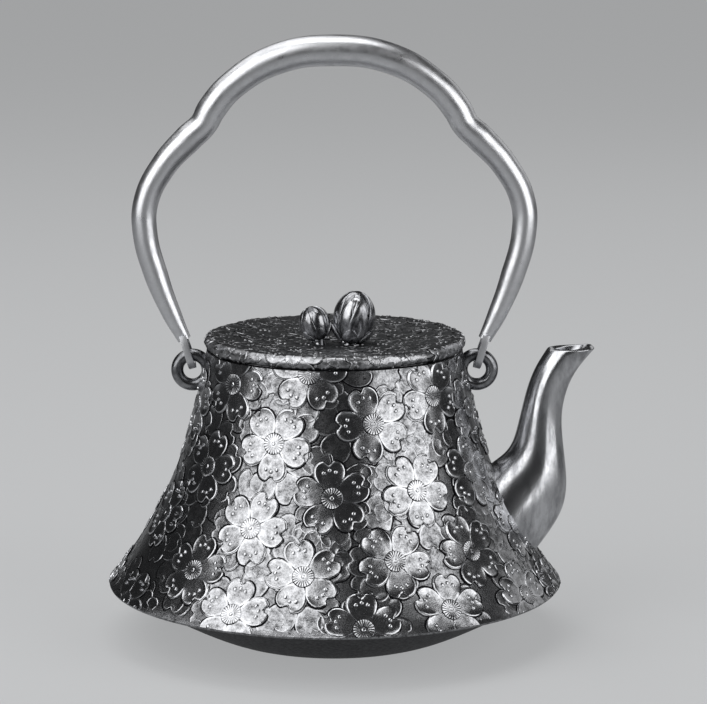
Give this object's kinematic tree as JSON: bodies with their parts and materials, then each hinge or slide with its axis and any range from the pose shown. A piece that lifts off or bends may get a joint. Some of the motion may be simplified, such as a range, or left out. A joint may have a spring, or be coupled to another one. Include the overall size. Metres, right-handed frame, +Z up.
{
  "type": "cast iron kettle",
  "caption": "Cast iron kettle with a flared skirted body, S-shaped spout, swinging bail hooked into two ring lugs, and a lift-off lid with a two-bud knob, patterned with cherry blossoms.",
  "frame": {"origin": "on the table, at the centre of the base pan's flat foot, on the body's vertical axis", "axes": "+Z up along the body's axis, +X towards the spout, the bail standing in the XZ plane, +Y to the kettle's left when it pours away from you"},
  "size_m": [0.181, 0.1699, 0.2224],
  "materials": {
    "cast_body": "cast in relief, blackened, with the raised edges burnished bright",
    "pan_iron": "fine sand-cast, black and matt",
    "burnished_iron": "smooth, burnished dark grey",
    "lid_iron": "cast in fine relief, blackened, lightly burnished",
    "forged_steel": "satin polished"
  },
  "bodies": {
    "kettle": {"body_shell": "cast_body", "base_pan": "pan_iron", "spout": "burnished_iron", "rear_lug": "burnished_iron", "front_lug": "burnished_iron"},
    "lid": {"lid_plate": "lid_iron", "large_bud": "lid_iron", "small_bud": "lid_iron", "large_bud_washer": "forged_steel", "small_bud_washer": "forged_steel"},
    "handle": {"bail": "forged_steel", "rear_hook": "forged_steel", "front_hook": "forged_steel"}
  },
  "joints": [
    {"name": "handle_swing", "type": "hinge", "parent": "kettle", "child": "handle", "pos_m": [0, 0, 0.1042], "axis": [1, 0, 0], "range_deg": [-110, 110]},
    {"name": "lid_lift", "type": "slide", "parent": "kettle", "child": "lid", "axis": [0, 0, 1], "range_m": [0, 0.06]}
  ]
}
